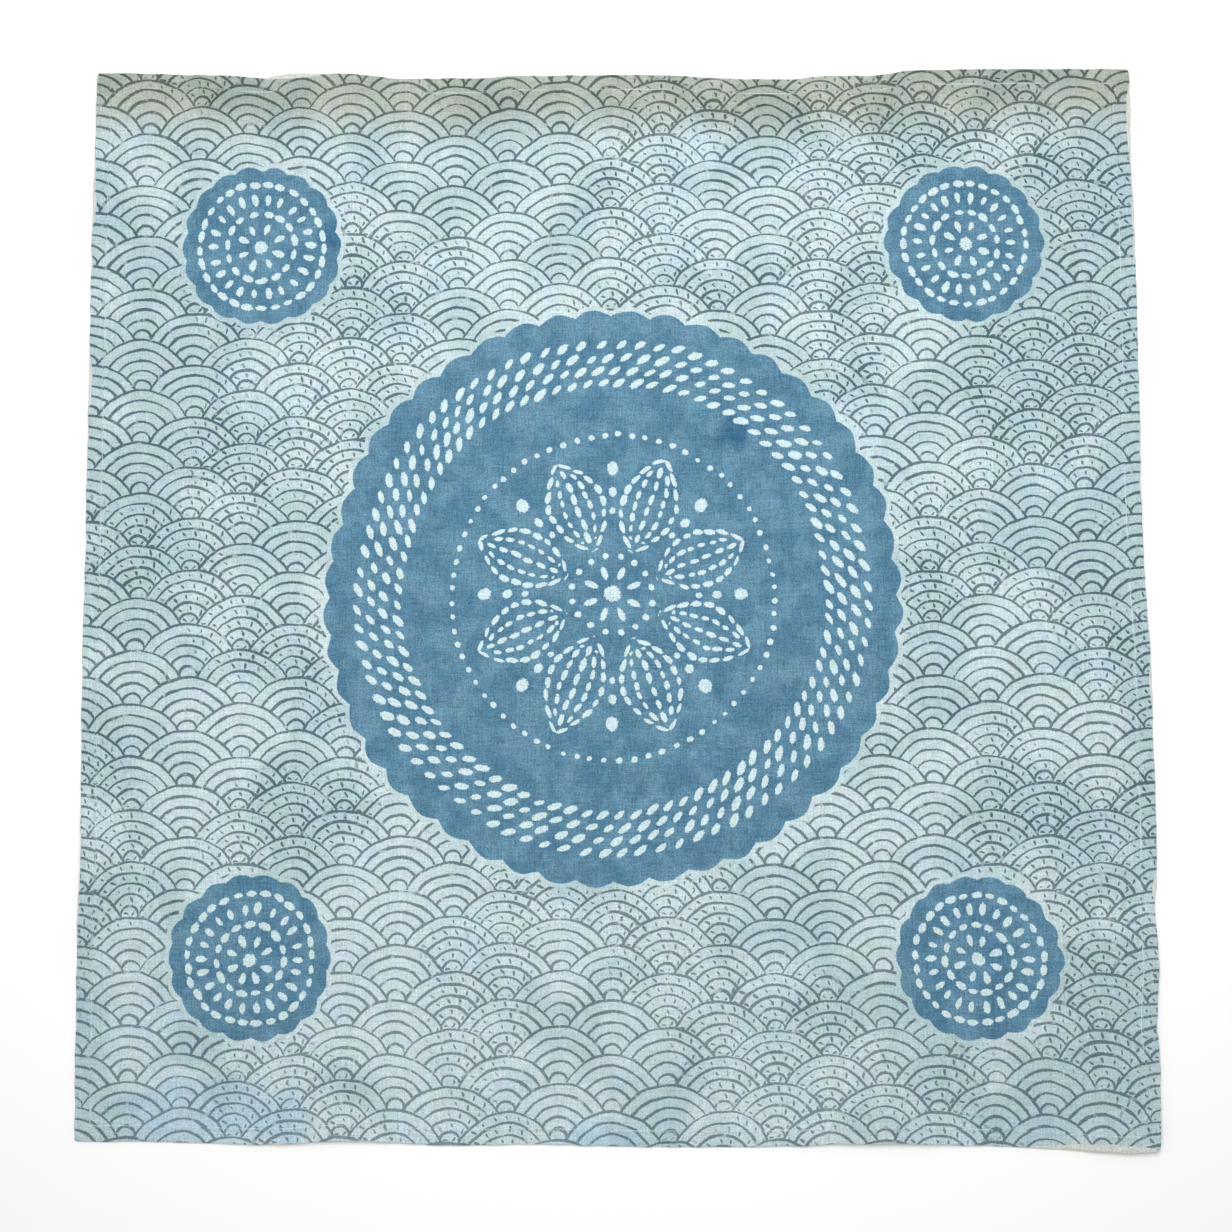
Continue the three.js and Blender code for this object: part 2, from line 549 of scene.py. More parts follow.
def blend(tree, share, first, second):
    """A colour between two others, each a socket or a fixed colour."""
    node = tree.nodes.new("ShaderNodeMix")
    node.data_type = "RGBA"
    factor, one, two = node.inputs[0], node.inputs[6], node.inputs[7]
    share.into(factor)
    for slot, value in ((one, first), (two, second)):
        if isinstance(value, bpy.types.NodeSocket):
            tree.links.new(value, slot)
        else:
            slot.default_value = value
    return node.outputs[2]


def tinted(tree, share, colour, tint):
    """A colour multiplied by a tint, as far as the share says."""
    socket = blend(tree, share, colour, tint)
    socket.node.blend_type = "MULTIPLY"
    return socket


def shaded(tree, colour, strength):
    """A colour made lighter or darker."""
    node = tree.nodes.new("ShaderNodeVectorMath")
    node.operation = "SCALE"
    tree.links.new(colour, node.inputs[0])
    strength.into(node.inputs["Scale"])
    return node.outputs[0]


MOTTLE = (0.14, 0.08, 0.14)  # how far its red, green and blue stray in a mottled colour


def mottled(tree, colour, chance):
    """A colour with faint patches of other hues."""
    tint = tree.nodes.new("ShaderNodeVectorMath")
    tint.operation = "MULTIPLY_ADD"
    tree.links.new(chance, tint.inputs[0])
    tint.inputs[1].default_value = MOTTLE
    tint.inputs[2].default_value = [1 - spread / 2 for spread in MOTTLE]
    node = tree.nodes.new("ShaderNodeVectorMath")
    node.operation = "MULTIPLY"
    tree.links.new(colour, node.inputs[0])
    tree.links.new(tint.outputs["Vector"], node.inputs[1])
    return node.outputs["Vector"]


def fresh_material(name):
    """A new material, its node tree and its shader."""
    material = bpy.data.materials.new(name)
    material.use_nodes = True
    tree = material.node_tree
    return material, tree, tree.nodes["Principled BSDF"]


def fine_relief(tree, shader, height, strength, distance):
    """Give a shader a fine relief, too small for the mesh."""
    bump = tree.nodes.new("ShaderNodeBump")
    bump.inputs["Strength"].default_value = strength
    bump.inputs["Distance"].default_value = distance
    height.into(bump.inputs["Height"])
    tree.links.new(bump.outputs["Normal"], shader.inputs["Normal"])


SEED_SLIP = 0.16  # how far a seed strays along its row, as a share of its room
SEED_SWAY = 0.8  # how far it strays across its row
SEED_SPREAD = 0.36  # how far the sizes of seeds differ, as a share


def seed_marks(cells, pitch, across, length, width, key, lean=0.0):
    """Seeds in a row: below 1 inside one.

    Cells counts them along the row, pitch is the room of each, across is the distance from
    the row's middle line, key picks their chance values, and lean turns each seed.
    """
    size, slip, sway = chances(cells.floor() + key)
    along = (cells.part() + slip.about(-0.5, SEED_SLIP)) * pitch
    across = across + sway.about(0.0, SEED_SWAY)
    if lean:
        cosine, sine = math.cos(lean), math.sin(lean)
        along, across = along * cosine + across * sine, across * cosine - along * sine
    return away(along * (2 / length), across * (2 / width)) / size.about(1.0, SEED_SPREAD)


TICK_ROOM = 6.3  # from one tick to the next, along the band between two lines
TICK_HALF_WIDTH = 0.645
TICK_HALF_LENGTH = 1.3
BAND_SHIFT = 0.37  # how far the ticks of a band are shifted from the last band's, in ticks
BAND_KEY = 31  # from one band's chance values to the next band's
ROW_KEY = 7  # from one row of scallops to the next


def wave_scallops(x, y, settings):
    """The ground's lines and ticks: overlapping scallops, each with arcs inside it.

    Gives the distance from the nearest line and the nearness to a tick, below 1 inside it.
    """
    radius, pitch = settings.scallop / MM, settings.line_pitch / MM
    half = radius / 2
    row = (y / half).floor()
    above = row.times_plus(-half, y)

    def across(row_number):
        shifted = x.times_plus(0.5 / radius, row_number * 0.5)
        return shifted.part().about(0.0, 2 * radius)

    own_x, other_x = across(row), across(row + 1)
    front = away(other_x, above + half).below(radius)
    own = away(own_x, above).below(radius) - front
    own = own.most(0.0)
    dx = own.times_plus(own_x - other_x, other_x)
    dy = front.times_plus(2 * half, own.times_plus(half, above - half))
    bands = away(dx, dy).times_plus(1 / pitch, settings.line_width / MM / 2 / pitch)

    band = bands.floor()
    between = bands.part().about(0.0, pitch)
    line = abs(abs(between) - pitch / 2)

    more_ticks = 2 * math.pi * pitch / TICK_ROOM
    count = band.times_plus(more_ticks, more_ticks / 2 + 0.5).floor()
    turn = (dx.math("ARCTAN2", dy) / (2 * math.pi)).times_plus(count, band * BAND_SHIFT)
    size, slip, lean = chances(band.times_plus(BAND_KEY, row * ROW_KEY) + turn.floor())
    along = (turn.part() + slip.about(-0.5, 0.2)).times_plus(TICK_ROOM, between * lean.about(0.35, 0.5))
    tick = away(along / TICK_HALF_WIDTH, between / TICK_HALF_LENGTH) / size.about(0.95, 0.5)
    return line, tick


# Lobes round the edge of the large flower and of a small one, and how far they stand out
FLOWER_EDGE = {"lobes": 48, "depth": 3.4}
BUD_EDGE = {"lobes": 18, "depth": 2.0}

# Petals of the large flower: how many, where the middle of each is, half its length along its
# spine and half its width
PETALS = {"count": 8, "middle": 50, "half_length": 26, "half_width": 14.0}

# Rows of seeds along each petal: how far out from the spine, as a share of half the petal's
# width, their pitch, length and width, and how far they run, as a share of half its length
PETAL_ROWS = table(
    "share pitch length width run",
    (1.0, 6.4, 5.0, 2.9, 0.98),
    (0.5, 6.0, 4.4, 2.3, 0.74),
    (0.0, 7.2, 5.6, 2.6, 0.82),
)
SIDE_KEY = 61  # from the chance values of one side of a petal to those of the next side
SIDE_ROW_KEY = 7  # from one row's beside the spine to the next row's
SPINE_KEY = 23  # from one petal's spine to the next one's

# Seed marks of the large flower that stand singly, by radius: how many, their length out
# from the middle, their width, and by how much of their room they stand round
SINGLE_SEEDS = table(
    "radius rows length width phase",
    (11.8, 8, 7.0, 3.2, 0.5),
    (20.2, 16, 3.2, 3.2, 0.5),
    (44.5, 8, 3.4, 3.0, 0.0),
    (54.0, 8, 5.0, 4.2, 0.0),
    (66.5, 8, 7.4, 6.0, 0.0),
)
FLOWER_HEART = 4.4  # radius of the pale spot in the large flower's middle

# Ring of beads round the petals
BEADS = {"radius": 84.5, "count": 72, "length": 3, "width": 2.7, "key": 900}

# Rings of leaning seeds near the edge: radius of the first and last ring, seeds in each, how
# far each ring is shifted round from the one inside it, in seeds, and the seeds' size and lean
SWIRL = {
    "first": 112.7,
    "last": 132.5,
    "pitch": 6.6,
    "count": 84,
    "shift": 0.36,
    "length": 6.8,
    "width": 3.2,
    "lean": 32,
    "key": 211,
}


def share_of_turn(x, y):
    """How far round the middle a place is, from 0 to 1."""
    return x.math("ARCTAN2", y) / (2 * math.pi) + 0.5


def inside_lobes(radius, turn, size, edge):
    """Distance inside a flower's lobed edge."""
    lobes = abs((turn * (edge["lobes"] * math.pi)).math("SINE"))
    return lobes.times_plus(edge["depth"], size) - radius


def petal_seeds(turn, radius, seeds):
    """Seeds with the rows along the petals added."""
    petal = (turn * PETALS["count"]).floor()
    angle = (turn * PETALS["count"]).part().about(0.0, 2 * math.pi / PETALS["count"])
    out, aside = radius * angle.math("COSINE"), radius * angle.math("SINE")
    share = out.times_plus(1 / PETALS["half_length"], -PETALS["middle"] / PETALS["half_length"])
    girth = (share * share).times_plus(-PETALS["half_width"], PETALS["half_width"])
    side = abs(aside)
    hand = petal.times_plus(2, aside.below(0.0))
    for number, row in enumerate(PETAL_ROWS):
        cells = out.times_plus(1 / row["pitch"], number * 0.5)
        if row["share"]:
            across = side - girth * row["share"]
            key = hand.times_plus(SIDE_KEY, number * SIDE_ROW_KEY)
        else:
            across = aside
            key = petal * SPINE_KEY
        marks = seed_marks(cells, row["pitch"], across, row["length"], row["width"], key)
        seeds = seeds.least(marks + abs(share).over(row["run"]))
    return seeds


def swirl_seeds(turn, radius):
    """The rings of leaning seeds near the flower's edge."""
    first, last, pitch, count = SWIRL["first"], SWIRL["last"], SWIRL["pitch"], SWIRL["count"]
    ring = radius.times_plus(1 / pitch, 0.5 - first / pitch).floor()
    middle = ring.times_plus(pitch, first)
    marks = seed_marks(
        turn.times_plus(count, ring * SWIRL["shift"]),
        middle * (2 * math.pi / count),
        radius - middle,
        SWIRL["length"],
        SWIRL["width"],
        ring * SWIRL["key"],
        lean=math.radians(SWIRL["lean"]),
    )
    return marks + abs(radius - (first + last) / 2).over((last - first + pitch) / 2)


def middle_flower(x, y, settings):
    """The large round flower: distance inside its edge, and its seeds."""
    radius = away(x, y)
    turn = share_of_turn(x, y)
    inside = inside_lobes(radius, turn, settings.flower_radius / MM, FLOWER_EDGE)
    seeds = petal_seeds(turn, radius, radius / FLOWER_HEART)
    for single in SINGLE_SEEDS:
        rows = single["rows"]
        in_room = (turn * rows + single["phase"] + 0.5).part()
        around = in_room.about(0.0, 2 * math.pi / rows) * radius
        from_ring = (radius - single["radius"]) * (2 / single["length"])
        seeds = seeds.least(away(around * (2 / single["width"]), from_ring))
    beads = seed_marks(
        turn * BEADS["count"],
        2 * math.pi * BEADS["radius"] / BEADS["count"],
        radius - BEADS["radius"],
        BEADS["length"],
        BEADS["width"],
        BEADS["key"],
    )
    return inside, seeds.least(beads).least(swirl_seeds(turn, radius))


# Rings of seeds in a small flower: where the room of the first starts, its radius, the pitch of
# the rings, the last one's number, the first one's seeds and how many more each next one holds.
# Seeds lie outwards in one ring and round it in the next.
BUD_RINGS = {"start": 6.0, "first": 9.6, "pitch": 7.6, "last": 3.0, "count": 8, "more": 7}
BUD_SEED = (1.5, 2.8)  # half of a seed that lies outwards: its size round the ring and across
BUD_SEED_CHANGE = 1.2  # what one gains and the other loses where seeds lie round the ring
BUD_SEED_SWAY = 0.7
BUD_SEED_SPREAD = 0.34
BUD_HEART = 3.3  # radius of the pale spot in a small flower's middle
BUD_KEY = 401  # from one small flower's chance values to the next one's
BUD_RING_KEY = 53


def small_flowers(x, y, settings):
    """The four small round flowers: distance inside their edges, and their seeds."""
    place = settings.bud_place / MM
    dx, dy = abs(x) - place, abs(y) - place
    quarter = x.below(0.0).times_plus(2, y.below(0.0))
    radius = away(dx, dy)
    turn = share_of_turn(dx, dy)
    size = settings.bud_radius / MM - BUD_EDGE["depth"] / 2
    inside = inside_lobes(radius, turn, size, BUD_EDGE)

    start, pitch = BUD_RINGS["start"], BUD_RINGS["pitch"]
    ring = radius.times_plus(1 / pitch, -start / pitch).floor()
    ring = ring.most(0.0).least(BUD_RINGS["last"])
    middle = ring.times_plus(pitch, BUD_RINGS["first"])
    count = ring.times_plus(BUD_RINGS["more"], BUD_RINGS["count"])
    cells = turn.times_plus(count, ring * 0.5)
    size, slip, sway = chances(cells.floor() + ring.times_plus(BUD_RING_KEY, quarter * BUD_KEY))
    along = (cells.part() + slip.about(-0.5, SEED_SLIP)) * middle / count * (2 * math.pi)
    across = radius - middle + sway.about(0.0, BUD_SEED_SWAY)
    half_if_round = (ring / 2).part()
    half_along, half_across = BUD_SEED
    seeds = away(
        along / half_if_round.times_plus(2 * BUD_SEED_CHANGE, half_along),
        across / half_if_round.times_plus(-2 * BUD_SEED_CHANGE, half_across),
    )
    return inside, (seeds / size.about(0.99, BUD_SEED_SPREAD)).least(radius / BUD_HEART)


def flowers_at(x, y, settings):
    """All five flowers: distance inside their edges, and their seeds."""
    inside, seeds = middle_flower(x, y, settings)
    small_inside, small_seeds = small_flowers(x, y, settings)
    return inside.most(small_inside), seeds.least(small_seeds)


FLOWER_ROOM = 12  # past a flower's radius, for its lobes and the drift of the print


def near_flower(x, y, settings):
    """Whether a place of the flat cloth may show a part of a flower."""
    place = settings.bud_place / MM
    in_middle = math.hypot(x, y) < settings.flower_radius / MM + FLOWER_ROOM
    from_bud = math.hypot(abs(x) - place, abs(y) - place)
    return in_middle or from_bud < settings.bud_radius / MM + FLOWER_ROOM


# Where drops of dye soaked in: middle, and how wide each spread across and along
DYE_DROPS = table(
    "x y across along",
    (64, 86, 10.0, 10.0),
    (-149, 192, 8.5, 8.5),
)

# Broad patches where the ground is a deeper or a paler colour, and how much deeper it is
# Partly uneven dye, partly painted shade darker along the left and right edges and painted light paler
# low on the left
DYE_AND_SHADE_PATCHES = table(
    "x y across along deeper",
    (-90, -200, 150, 100, -0.14),
    (-150, -280, 130, 36, -0.25),
    (60, 190, 160, 80, -0.05),
    (275, 150, 140, 200, 0.28),
    (285, -35, 50, 130, 0.4),
    (-275, 110, 130, 200, 0.19),
    (-275, 285, 90, 70, 0.15),
    (-285, -200, 50, 90, 0.26),
    (255, -215, 110, 120, 0.18),
)

# Patches where the wash left the ground bluer
WASH_STAINS = table(
    "x y across along",
    (-205, -262, 66, 15),
    (-12, -277, 26, 9),
)


def from_patch(x, y, patch):
    """Distance from the middle of a patch, 1 at its rim."""
    across, along = patch["across"], patch["along"]
    return away(
        x.times_plus(1 / across, -patch["x"] / across), y.times_plus(1 / along, -patch["y"] / along)
    )


def from_nearest(x, y, places):
    """Distance from the middle of the nearest of some patches, 1 at its rim."""
    nearest, *others = (from_patch(x, y, patch) for patch in places)
    for other in others:
        nearest = nearest.least(other)
    return nearest


def dye_drops(x, y, point):
    """1 in the middle of a drop of dye, 0 outside."""
    ragged = patches(point, 7, detail=2, seed=61).about(0.0, 0.9)
    return (from_nearest(x, y, DYE_DROPS) + ragged).rise(1.35, 0.35)


def wash_stains(x, y, ragged):
    """1 in the middle of a stain, 0 outside."""
    return (from_nearest(x, y, WASH_STAINS) + ragged.about(0.0, 2.4)).rise(1.2, 0.5)


def ground_dye_and_shade(x, y, cloudy):
    """How deep the ground's colour is: clouds of uneven dye, and broad patches of dye and painted
    shade.
    """
    depth = cloudy
    for patch in DYE_AND_SHADE_PATCHES:
        depth = depth + from_patch(x, y, patch).rise(1.0, 0.0, high=patch["deeper"])
    return depth.rise(0.38, 0.66)


THREAD = 0.55  # from one thread of the weave to the next
WEFT_KEY = 5000  # from the warp threads' chance values to the weft threads'
SLUB_SIZE = (0.9, 6.5)  # across and along a thread
SLUB_SHARE = 0.72  # how strongly a slub shows beside the grain
GRAIN_SIZE = 0.8
THREAD_SPREAD = 0.14  # how far one thread differs in tone from the next


def weave_height(x, y, point):
    """Height of the plain weave, where each thread goes over one and under the next."""
    wave_x = (x * (math.pi / THREAD)).math("SINE")
    wave_y = (y * (math.pi / THREAD)).math("SINE")
    uneven = patches(point, 1.3, detail=1, seed=17)
    return (wave_x * wave_y).times_plus(0.5, uneven * 1.2)


def thread_tone(x, y, point):
    """Lighter and darker threads, slubs and grain, about 0."""
    warp = chances((x / THREAD).floor())[0]
    weft = chances((y / THREAD).floor() + WEFT_KEY)[0]
    slubs = patches(point, SLUB_SIZE, seed=23) + patches(point, SLUB_SIZE[::-1], seed=47)
    grain = patches(point, GRAIN_SIZE, detail=0, seed=3)
    threads = (warp + weft).times_plus(THREAD_SPREAD, -THREAD_SPREAD)
    return slubs.times_plus(SLUB_SHARE, grain - (SLUB_SHARE + 0.5)) + threads


PRINT_DRIFT = 5.0  # how far the print strays, slowly, over the cloth
PRINT_WOBBLE = 1.5  # how far its lines wobble
HEM_JUMP = (0.35, 0.45)  # how far the print jumps where the cloth is turned over, across and along
SOFT_EDGE = 0.3  # half the width over which a printed edge fades
LINE_FADE = 0.2  # the same, for a thin line
FLOWER_GAP = 2.5  # between a flower and the ends of the ground's lines
LINE_INK = 0.93  # how much of the ground a line covers
GROUND_WEAVE = 0.46  # how strongly the threads show in the ground
DYE_WEAVE = 0.28  # how much more strongly they show in the flowers' dye
TOP_RAGGED = 14  # how far the brown band along the top edge strays in depth
STRIP_FADE = 0.6  # width over which the print sets in again beside a bare strip
REVERSE_SHARE = 0.55  # how much of the print shows on the cloth's reverse

# Tints that a colour is multiplied by: cooler clouds in the ground, wash stains, the lines and
# all the print in the brown band along the top edge, and drops of dye
CLOUD_TINT = (0.95, 0.985, 1.015, 1.0)
STAIN_TINT = (0.82, 0.9, 1.0, 1.0)
BROWN_LINE_TINT = (1.18, 1.03, 0.86, 1.0)
BROWN_TINT = (0.775, 0.685, 0.585, 1.0)
DROP_TINT = (0.45, 0.64, 0.78, 1.0)


def print_places(x, y, drift, wobble, in_hem):
    """Where in the drawn pattern a place of the cloth is, across and along."""
    return [
        drift_one.times_plus(PRINT_DRIFT, place)
        + wobble_one.times_plus(PRINT_WOBBLE, in_hem * jump)
        - (PRINT_DRIFT + PRINT_WOBBLE) / 2
        for place, jump, drift_one, wobble_one in zip((x, y), HEM_JUMP, drift, wobble)
    ]


def ground_lines(print_x, print_y, point, jagged, prints):
    """The ground's thin lines and ticks: 1 on one, 0 off it, less where the ink ran thin."""
    line, tick = wave_scallops(print_x, print_y, prints)
    pressure = patches(point, 18, detail=2, seed=83).about(0.0, 1.0) + jagged
    half_line = prints.line_width / MM / 2
    line = (line + pressure).rise(half_line + LINE_FADE, half_line - LINE_FADE)
    ticked = patches(point, 95, seed=90).rise(0.46, 0.52)
    tick = (tick + pressure).rise(1.2, 0.75) * ticked
    breaks = patches(point, 5, detail=1.5, seed=13).rise(0.76, 0.64, low=0.4)
    return line.most(tick) * breaks


def ground_colour(tree, x, y, cloudy, deeper, prints):
    """The dyed ground, with its clouds and stains, and the painted shade and light of the broad
    patches.
    """
    ground = blend(tree, deeper, prints.ground, prints.ground_shade)
    ground = tinted(tree, cloudy[1].rise(0.5, 0.7), ground, CLOUD_TINT)
    return tinted(tree, wash_stains(x, y, cloudy[2]), ground, STAIN_TINT)


def flower_colour(tree, x, y, point, prints):
    """The flowers' uneven dye, with its drops."""
    depth_of_dye = patches(point, 17, detail=4, roughness=0.62, seed=37).rise(0.34, 0.66)
    flower = blend(tree, depth_of_dye, prints.flower_deep, prints.flower)
    return tinted(tree, dye_drops(x, y, point), flower, DROP_TINT)


def printed_cotton(name, prints, sizes, show_through, flowers):
    """The cotton and its print, with its flowers or only the ground between them.

    Show-through is how much of the print shows on this face.
    """
    material, tree, shader = fresh_material(name)
    flat = tree.nodes.new("ShaderNodeUVMap")
    flat.uv_map = FLAT_MAP
    u, v, _ = channels(tree, flat.outputs["UV"])
    width, length = sizes.width / MM, sizes.length / MM
    x, y = u.about(0.0, width), v.about(0.0, length)
    point = spot(x, y)
    depth = (width / 2 - abs(x)).least(length / 2 - abs(y))
    hem = sizes.hem_width / MM

    drift = three_patches(point, 70, seed=5)
    small_drift = patch_node(point, 12, detail=1, roughness=0.5, seed=31).outputs["Color"]
    wobble = channels(tree, small_drift)
    cloudy = three_patches(point, 46, detail=3, seed=7)
    jagged = patches(point, 0.85, detail=0, seed=71).about(0.0, 0.5)
    print_x, print_y = print_places(x, y, drift, wobble, depth.below(hem))

    # Deeper holds the painted shade and painted light of the broad patches as well as the uneven dye
    deeper = ground_dye_and_shade(x, y, cloudy[0])
    stronger_if_deep = deeper.times_plus(0.12, 0.9)
    faded_low_down = y.rise(-260, -60, low=0.88)
    lines = ground_lines(print_x, print_y, point, jagged, prints) * stronger_if_deep * faded_low_down
    weave_share = GROUND_WEAVE
    if flowers:
        inside, seeds = flowers_at(print_x, print_y, prints)
        inside = inside + jagged
        lines = lines * inside.rise(SOFT_EDGE - FLOWER_GAP, -SOFT_EDGE - FLOWER_GAP)
        dyed = inside.rise(-SOFT_EDGE, SOFT_EDGE)
        marks = dyed * jagged.times_plus(0.8, seeds).rise(1.1, 0.88)
        weave_share = (dyed - marks).times_plus(DYE_WEAVE, GROUND_WEAVE)

    from_top = cloudy[2].about(length / 2, TOP_RAGGED) - y
    drawn = blend(tree, wobble[0].rise(0.35, 0.68), prints.line, prints.line_blue)
    drawn = tinted(tree, from_top.rise(58, 18), drawn, BROWN_LINE_TINT)
    ground = ground_colour(tree, x, y, cloudy, deeper, prints)
    colour = blend(tree, lines * (LINE_INK * show_through), ground, drawn)
    if flowers:
        flower = flower_colour(tree, x, y, point, prints)
        colour = blend(tree, dyed * show_through, colour, flower)
        colour = blend(tree, marks * show_through, colour, prints.seed)
    colour = mottled(tree, colour, small_drift)

    colour = tinted(tree, from_top.rise(42, 10), colour, BROWN_TINT)
    missed = tree.nodes.new("ShaderNodeAttribute")
    missed.attribute_name = BARE_WIDTH
    strip = Amount(tree, missed.outputs["Fac"]) + wobble[2].about(0.3, 2.4)
    colour = blend(tree, depth.rise(strip, strip - STRIP_FADE), colour, prints.bare)
    worn = patches(point, 34, seed=53).rise(0.47, 0.55, high=0.55)
    on_fold = abs(depth - hem).rise(0.42, 0.12)
    colour = blend(tree, on_fold * worn, colour, prints.seed)

    tone = thread_tone(x, y, point) * weave_share + 1
    tree.links.new(shaded(tree, colour, tone), shader.inputs["Base Color"])
    fine_relief(tree, shader, weave_height(x, y, point), strength=0.6, distance=0.00008)
    shader.inputs["Roughness"].default_value = 0.93
    shader.inputs["Specular IOR Level"].default_value = 0.18
    shader.inputs["Sheen Weight"].default_value = 0.12
    shader.inputs["Sheen Roughness"].default_value = 0.6
    return material


PLY_TWIST = 0.45  # length of one turn of the sewing thread's plies, along X plus along Y


def sewing_thread(settings):
    """Two-ply cotton thread, a little uneven in colour, with painted shade along the turns of its
    plies.
    """
    material, tree, shader = fresh_material("pale_sewing_thread")
    where = tree.nodes.new("ShaderNodeTexCoord")
    x, y, _ = channels(tree, where.outputs["Object"])
    x, y = x / MM, y / MM
    point = spot(x, y)
    twist = ((x + y) * (2 * math.pi / PLY_TWIST)).math("SINE")
    # The twist darkens the thread's colour a little in the grooves between its plies: painted shade
    tone = patches(point, 6, detail=2).times_plus(0.4, twist.times_plus(0.04, 0.8))
    base = blend(tree, patches(point, 30), settings.colour, settings.shade)
    tree.links.new(shaded(tree, base, tone), shader.inputs["Base Color"])
    fine_relief(tree, shader, twist, strength=0.5, distance=0.00005)
    shader.inputs["Roughness"].default_value = 0.8
    shader.inputs["Specular IOR Level"].default_value = 0.25
    return material


def pale_floor(settings):
    """Plain pale floor, hardly uneven."""
    material, tree, shader = fresh_material("pale_floor")
    where = tree.nodes.new("ShaderNodeTexCoord")
    cloud = patches(Amount(tree, where.outputs["Object"]), 0.6, detail=2)
    paler = tuple(min(1.0, part * 1.01) for part in settings.floor)
    tree.links.new(blend(tree, cloud, settings.floor, paler), shader.inputs["Base Color"])
    shader.inputs["Roughness"].default_value = 0.9
    shader.inputs["Specular IOR Level"].default_value = 0.1
    return material


def new_piece(name, bm, *materials):
    """A piece made from a bmesh, in place in the scene."""
    mesh = bpy.data.meshes.new(name)
    bm.to_mesh(mesh)
    bm.free()
    piece = bpy.data.objects.new(name, mesh)
    bpy.context.scene.collection.objects.link(piece)
    for material in materials:
        mesh.materials.append(material)
    return piece


# Stage, in metres and degrees
FLOOR_HALF = 4.0
FLOOR_DROP = 0.0002  # the floor's surface lies this far below z = 0, clear of the cloth
WINDOW_SIZE = 0.5
WINDOW_PLACE = (0.0, 0.18, 0.78)
WINDOW_AIM = (0.0, 0.12, 0.0)
CAMERA_PLACE = (0.0196, -0.0870, 0.8847)
CAMERA_TURN = (4.919, 1.1575, -0.1124)
LENS = 50  # millimetres
SENSOR_WIDTH = 36


class BANDANA_OT_stage(bpy.types.Operator):
    """Make the floor, the soft light and the camera above the cloth"""

    bl_idname = "bandana.stage"
    bl_label = "Stage"

    def execute(self, context):
        scene = context.scene
        settings = scene.bandana_stage
        bm = bmesh.new()
        bmesh.ops.create_grid(bm, x_segments=8, y_segments=8, size=FLOOR_HALF)
        bmesh.ops.translate(bm, verts=bm.verts, vec=(0, 0, -FLOOR_DROP))
        new_piece("floor", bm, pale_floor(settings))

        world = bpy.data.worlds.new("pale_room")
        world.use_nodes = True
        sky = world.node_tree.nodes["Background"]
        sky.inputs["Color"].default_value = (1, 1, 1, 1)
        sky.inputs["Strength"].default_value = settings.sky
        scene.world = world

        window = bpy.data.lights.new("soft_window", "AREA")
        window.energy = settings.window
        window.size = WINDOW_SIZE
        light = bpy.data.objects.new("soft_window", window)
        light.location = WINDOW_PLACE
        aim = Vector(WINDOW_AIM) - light.location
        light.rotation_euler = aim.to_track_quat("-Z", "Y").to_euler()
        scene.collection.objects.link(light)

        lens = bpy.data.cameras.new("camera")
        lens.lens = LENS
        lens.sensor_width = SENSOR_WIDTH
        camera = bpy.data.objects.new("camera", lens)
        camera.location = CAMERA_PLACE
        camera.rotation_euler = Euler(map(math.radians, CAMERA_TURN))
        scene.collection.objects.link(camera)
        scene.camera = camera
        scene.view_settings.view_transform = "Standard"
        return {"FINISHED"}


class BANDANA_OT_cloth(bpy.types.Operator):
    """Make the hemmed and printed cloth, as it lies"""

    bl_idname = "bandana.cloth"
    bl_label = "Cloth"

    def execute(self, context):
        scene = context.scene
        sizes, prints = scene.bandana_cloth, scene.bandana_print
        lying = LyingCloth(sizes)
        across = rows_across(lying.width, sizes.inner_cells)
        along = rows_across(lying.length, sizes.inner_cells)
        cells = len(across) - 1
        bm = bmesh.new()
        bmesh.ops.create_grid(bm, x_segments=cells, y_segments=cells, size=1.0)
        bmesh.ops.solidify(bm, geom=bm.faces, thickness=0.5)
        heights = [vert.co.z for vert in bm.verts]
        half_way = (min(heights) + max(heights)) / 2
        flat = bm.loops.layers.uv.new(FLAT_MAP)
        bare = bm.verts.layers.float.new(BARE_WIDTH)
        spots, flowery = {}, set()
        for vert in bm.verts:
            x = across[round((vert.co.x + 1) / 2 * cells)]
            y = along[round((vert.co.y + 1) / 2 * cells)]
            spots[vert] = (x / lying.width + 0.5, y / lying.length + 0.5)
            vert[bare] = lying.bare_width(x, y)
            if near_flower(x, y, prints):
                flowery.add(vert)
            vert.co = lying.point(x, y, 1 if vert.co.z > half_way else 0)
        bmesh.ops.recalc_face_normals(bm, faces=bm.faces)
        for face in bm.faces:
            face.smooth = True
            reverse, plain = face.normal.z < -0.5, flowery.isdisjoint(face.verts)
            face.material_index = 2 * reverse + plain
            for loop in face.loops:
                loop[flat].uv = spots[loop.vert]
        piece = new_piece(
            "printed_cloth",
            bm,
            printed_cotton("flower_face", prints, sizes, 1.0, flowers=True),
            printed_cotton("ground_face", prints, sizes, 1.0, flowers=False),
            printed_cotton("flower_reverse", prints, sizes, REVERSE_SHARE, flowers=True),
            printed_cotton("ground_reverse", prints, sizes, REVERSE_SHARE, flowers=False),
        )
        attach(piece, "root")
        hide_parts("cloth")
        return {"FINISHED"}


# How the row of stitches strays from its straight line, and how flat the thread is pulled
STITCH_WAVER = {"length": 9, "reach": 0.35, "seed": 4.2}
THREAD_FLATNESS = 0.7


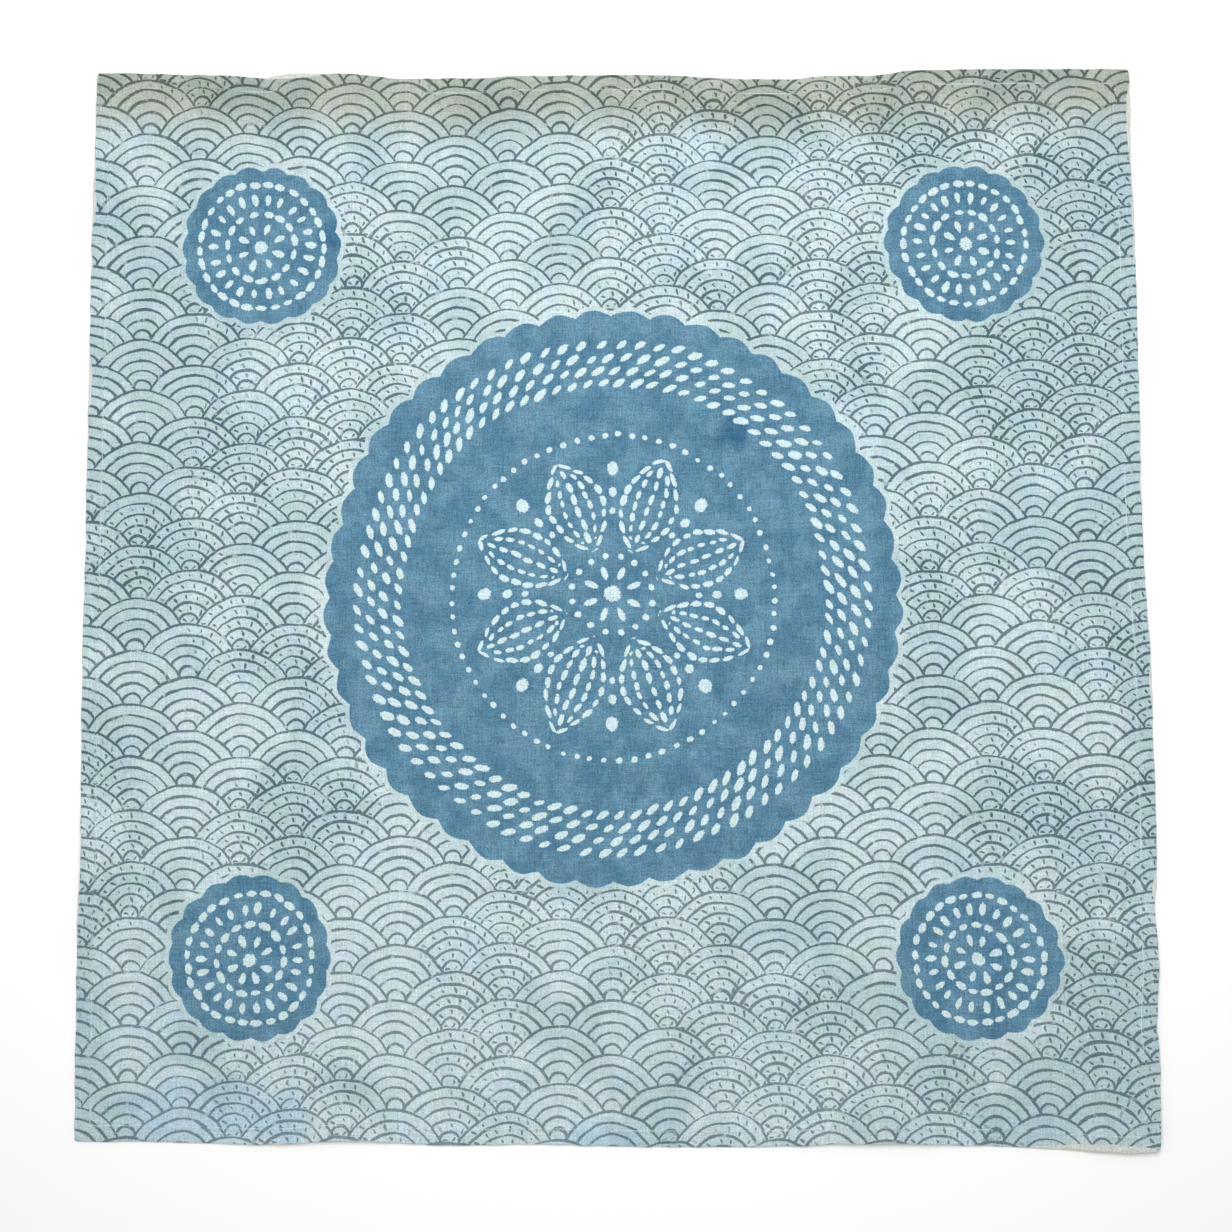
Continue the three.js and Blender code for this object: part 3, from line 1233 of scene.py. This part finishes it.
class BANDANA_OT_stitching(bpy.types.Operator):
    """Sew the row of stitches along the four hems"""

    bl_idname = "bandana.stitching"
    bl_label = "Hem stitching"

    def execute(self, context):
        scene = context.scene
        sizes, stitches = scene.bandana_cloth, scene.bandana_stitches
        cloth = bpy.data.objects.get("printed_cloth")
        if cloth is None:
            raise RuntimeError("The cloth has to be made before its stitches")
        lying = LyingCloth(sizes)
        depth, pitch = stitches.depth / MM, stitches.pitch / MM
        half_x, half_y = lying.width / 2 - depth, lying.length / 2 - depth
        corners = ((-half_x, -half_y), (half_x, -half_y), (half_x, half_y), (-half_x, half_y))
        half = stitches.stitch_length / 2
        thick = stitches.thread_width / 2
        bm = bmesh.new()
        for (x0, y0), (x1, y1) in zip(corners, corners[1:] + corners[:1]):
            run = math.hypot(x1 - x0, y1 - y0)
            count = round(run / pitch)
            for i in range(count):
                share = (i + 0.5) / count
                noise_x = x0 + share * run / STITCH_WAVER["length"]
                waver = noise.noise(Vector((noise_x, y0, STITCH_WAVER["seed"]))) * STITCH_WAVER["reach"]
                step = half / MM / run
                ends = [
                    lying.point(
                        x0 + (x1 - x0) * s + waver * (y1 - y0) / run,
                        y0 + (y1 - y0) * s - waver * (x1 - x0) / run,
                        1,
                    )
                    for s in (share - step, share + step)
                ]
                line = ends[1] - ends[0]
                spin = line.to_track_quat("X", "Z").to_matrix().to_4x4()
                shape = Matrix.Diagonal((half, thick, thick * THREAD_FLATNESS, 1))
                middle = Matrix.Translation((ends[0] + ends[1]) / 2)
                bmesh.ops.create_icosphere(
                    bm, subdivisions=1, radius=1.0, matrix=middle @ spin @ shape
                )
        for face in bm.faces:
            face.smooth = True
        piece = new_piece("hem_stitching", bm, sewing_thread(stitches))
        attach(piece, "root")
        return {"FINISHED"}


class BANDANA_PT_panel(bpy.types.Panel):
    """Lists the pieces of the bandana and their settings"""

    bl_idname = "BANDANA_PT_panel"
    bl_label = "Bandana"
    bl_space_type = "VIEW_3D"
    bl_region_type = "UI"
    bl_category = "Bandana"

    def draw(self, context):
        scene = context.scene
        for operator, group in (
            (BANDANA_OT_stage, scene.bandana_stage),
            (BANDANA_OT_cloth, scene.bandana_cloth),
            (None, scene.bandana_print),
            (BANDANA_OT_stitching, scene.bandana_stitches),
        ):
            box = self.layout.box()
            if operator:
                box.operator(operator.bl_idname)
            for name in group.bl_rna.properties.keys():
                if name not in ("rna_type", "name"):
                    box.prop(group, name)


CLASSES = (
    ClothSizes,
    StitchSizes,
    PrintSettings,
    StageSettings,
    BANDANA_OT_stage,
    BANDANA_OT_cloth,
    BANDANA_OT_stitching,
    BANDANA_PT_panel,
)
SETTINGS = {
    "bandana_cloth": ClothSizes,
    "bandana_stitches": StitchSizes,
    "bandana_print": PrintSettings,
    "bandana_stage": StageSettings,
}


def register():
    for one in CLASSES:
        bpy.utils.register_class(one)
    for name, group in SETTINGS.items():
        setattr(bpy.types.Scene, name, bpy.props.PointerProperty(type=group))


def unregister():
    for name in SETTINGS:
        delattr(bpy.types.Scene, name)
    for one in reversed(CLASSES):
        bpy.utils.unregister_class(one)


def main():
    register()
    bpy.ops.bandana.stage()
    bpy.ops.bandana.cloth()
    bpy.ops.bandana.stitching()


if __name__ == "__main__":
    main()
